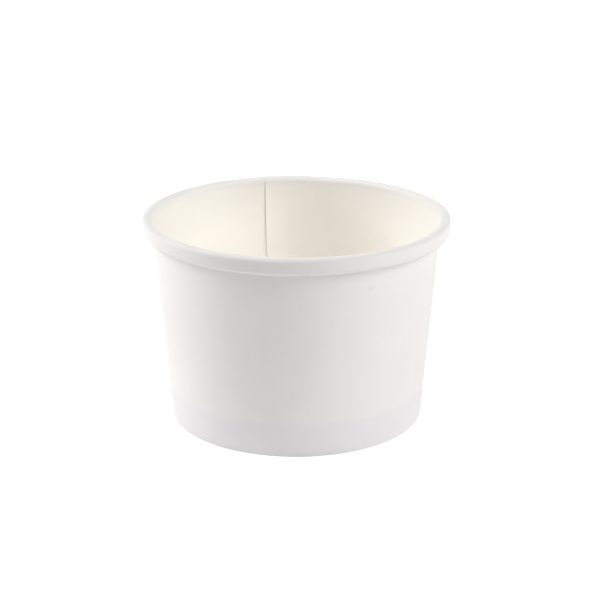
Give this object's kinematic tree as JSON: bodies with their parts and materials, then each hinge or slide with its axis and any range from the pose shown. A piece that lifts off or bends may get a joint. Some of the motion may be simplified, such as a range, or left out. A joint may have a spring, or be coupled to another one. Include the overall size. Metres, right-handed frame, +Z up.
{
  "type": "paper sundae cup",
  "caption": "Open, slightly tapered tub of white coated board with a rolled rim, a lapped side seam and a raised floor, for a serving of ice cream.",
  "frame": {"origin": "middle of the foot, on the table", "axes": "+Z up along the cup's axis, -Y towards the viewer, the side seam's inner edge at the back left, 104 degrees round from +X"},
  "size_m": [0.09, 0.09, 0.0607],
  "materials": {
    "wall_board": "white coated board, satin outside, cream-toned and slightly glossier inside",
    "floor_board": "the same board, its cream-toned coated side up"
  },
  "bodies": {
    "root": {"side_wall": "wall_board", "base_disc": "floor_board"}
  },
  "joints": []
}
